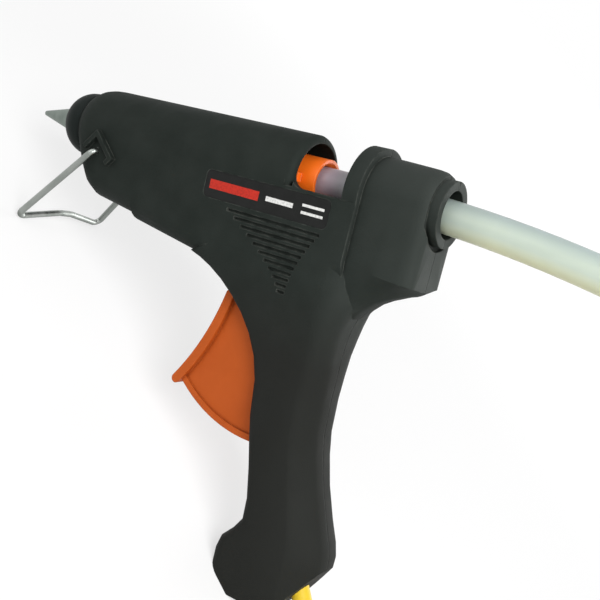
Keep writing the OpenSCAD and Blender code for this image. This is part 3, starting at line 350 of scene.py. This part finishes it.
def moulded(name, dark, pale, wear_and_highlight_tone, grain=0.45, depth=0.05, rough=(0.42, 0.58), edge=0.5, wear_and_highlight_share=0.5,
            shine=0.3, corner_shade=None, housing=False):
    """Moulded plastic with a fine eroded grain, uneven tone, paler edges that are partly rubbed and partly a
    painted highlight, and painted shade in its corners.
    """
    t = Tree(name)
    base = t.mix(t.span(t.noise(TONE_SIZE, 4), *MIDDLE), dark, pale)
    if housing:
        # Painted light: paler on the hood's upward faces
        on_hood = t.span(t.part(X), *LIT_HOOD_X)
        hood_light = t.math("MULTIPLY", on_hood, t.span(t.faces_up(), *LIT_FACES, *LIT_SHARES))
        base = t.mix(hood_light, base, BLACK_LIT_HOOD)
        # A more neutral, slightly darker tone towards the foot of the handle
        base = t.mix(t.span(t.part(Z), *LOWER_HANDLE_Z, 0, LOWER_HANDLE_SHARE), base, BLACK_LOWER_HANDLE)
    # Painted shade: darker in the piece's own corners and creases
    if corner_shade:
        base = t.mix(t.math("MULTIPLY", t.crevices(CORNER_SHADE_REACH), CORNER_SHADE_SHARE), base, corner_shade)
    # Paler edges: partly wear, partly a painted highlight
    spots = t.span(t.noise(RUBBED_SIZE, 3), *RUBBED_RANGE)
    rubbed = t.math("MULTIPLY", t.edges(edge), spots, clamp=True)
    colour = t.mix(t.math("MULTIPLY", rubbed, wear_and_highlight_share), base, wear_and_highlight_tone)
    fine = t.noise(grain, 3, roughness=0.6)
    if housing:
        wander = t.span(t.noise(WANDER_SIZE, 2), *MIDDLE, -WANDER, WANDER)
        off = t.math("ABSOLUTE", t.math("ADD", t.part(Y), wander))
        on_seam = t.span(off, SEAM_HALF, 0.5 * SEAM_HALF)
        colour = t.mix(t.math("MULTIPLY", on_seam, SEAM_SHARE), colour, SEAM_DARK)
        fine = t.math("SUBTRACT", fine, t.math("MULTIPLY", on_seam, SEAM_DEPTH))
    gloss = t.math("ADD", t.noise(SMOOTH_SIZE, 3), t.math("MULTIPLY", fine, GRAIN_IN_GLOSS))
    t.set("Base Color", colour)
    t.set("Specular IOR Level", shine)
    t.set("Roughness", t.span(gloss, *SMOOTH_RANGE, *rough))
    t.bump(fine, depth, round_edges=edge)
    return t.material


# Metals: dull tone, bright tone and the range of their roughness

NOZZLE = ((0.16, 0.195, 0.172), (0.23, 0.265, 0.24), (0.38, 0.55))
CHAMBER = ((0.5, 0.5, 0.5), (0.62, 0.62, 0.62), (0.35, 0.5))
STAND_WIRE = ((0.3, 0.325, 0.305), (0.42, 0.44, 0.42), (0.3, 0.4))
STAND_UNDERSIDE_SHADE = (0.1, 0.115, 0.1)
SPRING_WIRE = ((0.45, 0.45, 0.45), (0.6, 0.6, 0.6), (0.25, 0.4))
ELECTRODE = ((0.6, 0.58, 0.54), (0.75, 0.73, 0.68), (0.3, 0.45))
PIN_PLATING = ((0.6, 0.54, 0.4), (0.72, 0.66, 0.5), (0.2, 0.35))
STEEL = ((0.45, 0.45, 0.46), (0.6, 0.6, 0.61), (0.28, 0.42))
CLOUD_SIZE = 9
CLOUD_RANGE = (0.7, 1.3)
UNDERSIDE_SHADE_FACES = (0.25, -0.6)
RING_SIZE = 0.5
RING_DEPTH = 0.02
RING_RANGE = (0.6, 1.4)
STAIN_SIZE = 4


def metal(name, low, high, rough, stretch=(1, 1, 1), size=1.2, depth=0.01, underside_shade=None):
    """Metal with fine marks that run one way, and painted shade on what faces down."""
    t = Tree(name)
    marks = t.noise(size, 4, vector=t.stretched(stretch))
    cloud = t.noise(CLOUD_SIZE, 3)
    colour = t.mix(t.span(t.math("ADD", marks, cloud), *CLOUD_RANGE), low, high)
    # Painted shade: darker on faces that look down
    if underside_shade:
        colour = t.mix(t.span(t.faces_up(), *UNDERSIDE_SHADE_FACES), colour, underside_shade)
    t.set("Base Color", colour)
    t.set("Metallic", 1.0)
    t.set("Roughness", t.span(marks, *MIDDLE, *rough))
    t.bump(marks, depth)
    return t.material


def turned_metal(name, low, high, rough):
    """Metal with fine rings round the stick's axis, from the lathe."""
    t = Tree(name)
    rings = t.noise(RING_SIZE, 3, vector=t.stretched((1, 0.02, 0.02)))
    stain = t.noise(STAIN_SIZE, 4)
    t.set("Base Color", t.mix(t.span(stain, *MIDDLE), low, high))
    t.set("Metallic", 1.0)
    t.set("Roughness", t.span(t.math("ADD", rings, stain), *RING_RANGE, *rough))
    t.bump(rings, RING_DEPTH)
    return t.material


# The label: plain bars in place of its print, each with its reach along X and Z in mm

FOIL = ((0.0085, 0.009, 0.0085), (0.0125, 0.013, 0.0125))
FOIL_ROUGH = (0.4, 0.5)
FOIL_SHINE = 0.13
LABEL_RED = (0.5, 0.028, 0.016)
LABEL_WHITE = (0.72, 0.72, 0.7)
RED_BAR = (-83, -62, -10.9, -7.7)
WHITE_BARS = ((-59, -48, -10.1, -8.5), (-44.5, -36, -8.6, -7.7), (-44.5, -36, -11, -10.1))
PRINT_WEAR_SIZE = 0.8
PRINT_WEAR = (0.25, 0.55, 0.6, 0.95)


def label_foil():
    """A smooth dark foil with plain stripes in place of its print."""
    t = Tree("label_foil")
    x, z = t.part(X), t.part(Z)

    def bar(x0, x1, z0, z1):
        share = t.math("GREATER_THAN", x, x0)
        for other in (t.math("LESS_THAN", x, x1), t.math("GREATER_THAN", z, z0), t.math("LESS_THAN", z, z1)):
            share = t.math("MULTIPLY", share, other)
        return share

    cloud = t.span(t.noise(5, 4), *MIDDLE)
    base = t.mix(cloud, *FOIL)
    red = bar(*RED_BAR)
    white = 0.0
    for place in WHITE_BARS:
        white = t.math("ADD", white, bar(*place))
    rubbed = t.span(t.noise(PRINT_WEAR_SIZE, 4), *PRINT_WEAR)
    base = t.mix(t.math("MULTIPLY", red, rubbed), base, LABEL_RED)
    t.set("Base Color", t.mix(t.math("MULTIPLY", white, rubbed), base, LABEL_WHITE))
    t.set("Roughness", t.span(cloud, 0, 1, *FOIL_ROUGH))
    t.set("Specular IOR Level", FOIL_SHINE)
    t.bump(t.noise(1.2, 3), 0.01)
    return t.material


# The glue stick: its sag, and its tones with the places, in mm, between which each comes in

SAG_FROM = -25
SAG_R = 450
GLUE_MILKY = ((0.44, 0.505, 0.435), (0.485, 0.55, 0.47))
GLUE_TOP_LIGHTING = (0.36, 0.43, 0.415)
TOP_LIGHTING_HEIGHT = (1.5, 5.2)
GLUE_UNDER_REFLECTION = (0.58, 0.595, 0.4)
UNDER_REFLECTION_HEIGHT = (-1, -4.6)
GLUE_INLET = (0.265, 0.315, 0.285)
INLET_X = (16, -3)
INLET_SHARE = 0.6
GLUE_SHADED_MAUVE = (0.35, 0.29, 0.33)
GLUE_SHADED_GREY = (0.37, 0.41, 0.41)
GREY_X = (-42, -33)
INSIDE_X = (-4, -12)
STREAK_STRETCH = (0.12, 1, 1)
WAVE_STRETCH = (0.25, 1, 1)
GLUE_ROUGH = (0.3, 0.42)


def glue():
    """Milky hot-melt glue that light goes into."""
    t = Tree("glue")
    x = t.part(X)
    streak = t.noise(5, 3, vector=t.stretched(STREAK_STRETCH))
    milky = t.mix(t.span(streak, *MIDDLE), *GLUE_MILKY)
    past = t.math("MAXIMUM", t.math("SUBTRACT", x, SAG_FROM))
    height = t.math("ADD", t.part(Z), t.math("DIVIDE", t.math("MULTIPLY", past, past), 2 * SAG_R))
    # Painted light: cooler and greyer on top, a painted warm reflection underneath, and painted shade where
    # light can't reach it from outside
    milky = t.mix(t.span(height, *TOP_LIGHTING_HEIGHT), milky, GLUE_TOP_LIGHTING)
    milky = t.mix(t.span(height, *UNDER_REFLECTION_HEIGHT), milky, GLUE_UNDER_REFLECTION)
    milky = t.mix(t.span(x, *INLET_X, 0, INLET_SHARE), milky, GLUE_INLET)
    # Painted shade on the stick inside the housing, mauve nearer the nozzle and greyer towards the inlet
    shaded_inside = t.mix(t.span(x, *GREY_X), GLUE_SHADED_MAUVE, GLUE_SHADED_GREY)
    t.set("Base Color", t.mix(t.span(x, *INSIDE_X), milky, shaded_inside))
    t.set("Subsurface Weight", 0.4)
    t.set("IOR", 1.45)
    t.set("Subsurface Radius", (1.0, 1.0, 0.8))
    t.set("Subsurface Scale", 0.002)
    t.set("Roughness", t.span(t.noise(3, 4), *MIDDLE, *GLUE_ROUGH))
    t.set("Specular IOR Level", 0.4)
    t.bump(t.noise(6, 2, vector=t.stretched(WAVE_STRETCH)), 0.03, strength=0.5)
    return t.material


# A material for each piece

DRAWN = (0.1, 1, 1)
BENT = (0.3, 1, 0.3)
black = moulded("black_plastic", *BLACK, rough=(0.55, 0.7), edge=0.7, wear_and_highlight_share=0.65, shine=0.05,
                corner_shade=BLACK_CORNER_SHADE, housing=True)
steel = metal("steel", *STEEL)
yellow = moulded("lead_yellow", *YELLOW, grain=0.7, depth=0.02, rough=(0.4, 0.55), wear_and_highlight_share=0.3)
looks = {
    "nose_cap": moulded("nose_plastic", *NOSE, depth=0.03, rough=(0.45, 0.58), shine=0.08,
                        corner_shade=BLACK_CORNER_SHADE),
    "label_plate": label_foil(),
    "carrier": moulded("orange_carrier", *ORANGE, grain=0.6, depth=0.01, rough=(0.3, 0.42), wear_and_highlight_share=0.4,
                       corner_shade=ORANGE_CORNER_SHADE),
    "trigger": moulded("orange_trigger", *RED_ORANGE, grain=0.6, depth=0.015, rough=(0.38, 0.5), wear_and_highlight_share=0.6,
                       shine=0.13, corner_shade=RED_ORANGE_CORNER_SHADE),
    "nozzle": turned_metal("nozzle_metal", *NOZZLE),
    "melt_chamber": metal("chamber_metal", *CHAMBER, stretch=DRAWN),
    "stand": metal("stand_wire", *STAND_WIRE, stretch=BENT, size=2.5, depth=0.001, underside_shade=STAND_UNDERSIDE_SHADE),
    "return_spring": metal("spring_wire", *SPRING_WIRE),
    "sleeve_clamp": metal("clamp_wire", *SPRING_WIRE),
    "heater_electrodes": metal("electrode", *ELECTRODE),
    "plug_pins": metal("pin_plating", *PIN_PLATING, stretch=DRAWN),
    "glue_stick": glue(),
    "ptc_heater": moulded("heater_ceramic", *CERAMIC, depth=0.03),
    "heater_insulation": moulded("film", *FILM, depth=0.01, rough=(0.2, 0.35)),
    "inlet_sleeve": moulded("silicone", *SILICONE, depth=0.02),
    "lead_wires": moulded("wire_cover", *WIRE_COVER, depth=0.01),
    "cord_tie": moulded("tie_rubber", *TIE_RUBBER, depth=0.03),
}
shared = (
    (black, ("housing_left", "housing_right", "cord_clamp")),
    (steel, ("housing_screws", "trigger_pin", "link_pin", "grip_jaw", "clamp_screws")),
    (yellow, ("strain_relief", "plug_body")),
)
for material, names in shared:
    for name in names:
        looks[name] = material
for name, material in looks.items():
    mesh = nodes[name].data
    mesh.materials.clear()
    mesh.materials.append(material)
lead.data.materials.append(yellow)

# Smooth shading across the facets of round faces

SMOOTH_BELOW = math.radians(28)
MERGE_WITHIN = 2e-6


def shading_group():
    group = bpy.data.node_groups.new("round_faces", "GeometryNodeTree")
    group.interface.new_socket("Geometry", in_out="INPUT", socket_type="NodeSocketGeometry")
    group.interface.new_socket("Geometry", in_out="OUTPUT", socket_type="NodeSocketGeometry")
    add = group.nodes.new
    start = add("NodeGroupInput")
    end = add("NodeGroupOutput")
    merge = add("GeometryNodeMergeByDistance")
    merge.inputs["Distance"].default_value = MERGE_WITHIN
    faces = add("GeometryNodeSetShadeSmooth")
    edges = add("GeometryNodeSetShadeSmooth")
    edges.domain = "EDGE"
    bend = add("GeometryNodeInputMeshEdgeAngle")
    below = add("FunctionNodeCompare")
    below.operation = "LESS_THAN"
    below.inputs["B"].default_value = SMOOTH_BELOW
    link = group.links.new
    link(start.outputs[0], merge.inputs["Geometry"])
    link(merge.outputs[0], faces.inputs["Geometry"])
    link(faces.outputs[0], edges.inputs["Geometry"])
    link(bend.outputs["Unsigned Angle"], below.inputs["A"])
    link(below.outputs[0], edges.inputs["Shade Smooth"])
    link(edges.outputs[0], end.inputs[0])
    return group


round_faces = shading_group()
for name in nodes:
    if name not in ("power_cord", "cord_coil"):
        nodes[name].modifiers.new("round_faces", "NODES").node_group = round_faces

# Floor, background and light

AMBIENT = 0.4
FLOOR_REACH = 4
FLOOR_PALE = (0.85, 0.85, 0.85, 1)
FLOOR_LIGHT = 1.05
# Distance from the origin in metres, and the share of plain white light there
FLOOR_NEAR = (0.3, 0.6)
FLOOR_FAR = (0.75, 1.0)
# Place and size in metres, and power in watts
LAMPS = {
    "key": ((0.2, -0.32, 0.5), 0.35, 3.4),
    "fill": ((-0.8, -0.8, 0.5), 0.9, 2.4),
    "back": ((0.1, 0.9, 0.3), 0.9, 6),
}
LAMPS_AIM = row((-15, 0, 0))


def seen_by_eye(tree):
    """1 for rays from the camera, from gloss and through glass."""
    path = tree.nodes.new("ShaderNodeLightPath")
    total = path.outputs["Is Camera Ray"]
    for name in ("Is Glossy Ray", "Is Transmission Ray"):
        node = tree.nodes.new("ShaderNodeMath")
        node.operation = "MAXIMUM"
        tree.links.new(total, node.inputs[0])
        tree.links.new(path.outputs[name], node.inputs[1])
        total = node.outputs[0]
    return total


def make_world():
    world = bpy.data.worlds.new("studio")
    scene.world = world
    world.use_nodes = True
    tree = world.node_tree
    tree.nodes.clear()
    out = tree.nodes.new("ShaderNodeOutputWorld")
    mix = tree.nodes.new("ShaderNodeMixShader")
    for socket, strength in ((mix.inputs[1], AMBIENT), (mix.inputs[2], 1.0)):
        light = tree.nodes.new("ShaderNodeBackground")
        light.inputs["Color"].default_value = (1, 1, 1, 1)
        light.inputs["Strength"].default_value = strength
        tree.links.new(light.outputs[0], socket)
    tree.links.new(seen_by_eye(tree), mix.inputs[0])
    tree.links.new(mix.outputs[0], out.inputs[0])


def floor_material():
    """Takes shadows near the object and turns to plain white further out."""
    material = bpy.data.materials.new("floor")
    material.use_nodes = True
    tree = material.node_tree
    tree.nodes.clear()
    out = tree.nodes.new("ShaderNodeOutputMaterial")
    mix = tree.nodes.new("ShaderNodeMixShader")
    pale = tree.nodes.new("ShaderNodeBsdfDiffuse")
    pale.inputs["Color"].default_value = FLOOR_PALE
    glow = tree.nodes.new("ShaderNodeEmission")
    glow.inputs["Strength"].default_value = FLOOR_LIGHT
    coords = tree.nodes.new("ShaderNodeTexCoord")
    away = tree.nodes.new("ShaderNodeVectorMath")
    away.operation = "LENGTH"
    glows = tree.nodes.new("ShaderNodeMapRange")
    for socket, value in zip(glows.inputs[1:5], (FLOOR_NEAR[0], FLOOR_FAR[0], FLOOR_NEAR[1], FLOOR_FAR[1])):
        socket.default_value = value
    share = tree.nodes.new("ShaderNodeMath")
    share.operation = "MULTIPLY"
    tree.links.new(coords.outputs["Object"], away.inputs[0])
    tree.links.new(away.outputs["Value"], glows.inputs[0])
    tree.links.new(seen_by_eye(tree), share.inputs[0])
    tree.links.new(glows.outputs[0], share.inputs[1])
    tree.links.new(share.outputs[0], mix.inputs[0])
    tree.links.new(pale.outputs[0], mix.inputs[1])
    tree.links.new(glow.outputs[0], mix.inputs[2])
    tree.links.new(mix.outputs[0], out.inputs[0])
    return material


def make_floor():
    corners = [(x * FLOOR_REACH, y * FLOOR_REACH, 0) for x, y in ((-1, -1), (1, -1), (1, 1), (-1, 1))]
    mesh = bpy.data.meshes.new("floor")
    mesh.from_pydata(corners, [], [(0, 1, 2, 3)])
    mesh.materials.append(floor_material())
    floor = bpy.data.objects.new("floor", mesh)
    scene.collection.objects.link(floor)


def make_lamp(name, place, size, power):
    data = bpy.data.lights.new(name, "AREA")
    data.shape = "DISK"
    data.size = size
    data.energy = power
    lamp = bpy.data.objects.new(name, data)
    scene.collection.objects.link(lamp)
    lamp.visible_camera = False
    lamp.location = place
    lamp.rotation_mode = "QUATERNION"
    lamp.rotation_quaternion = (LAMPS_AIM - Vector(place)).to_track_quat("-Z", "Y")


make_world()
make_floor()
for name, (place, size, power) in LAMPS.items():
    make_lamp(name, place, size, power)
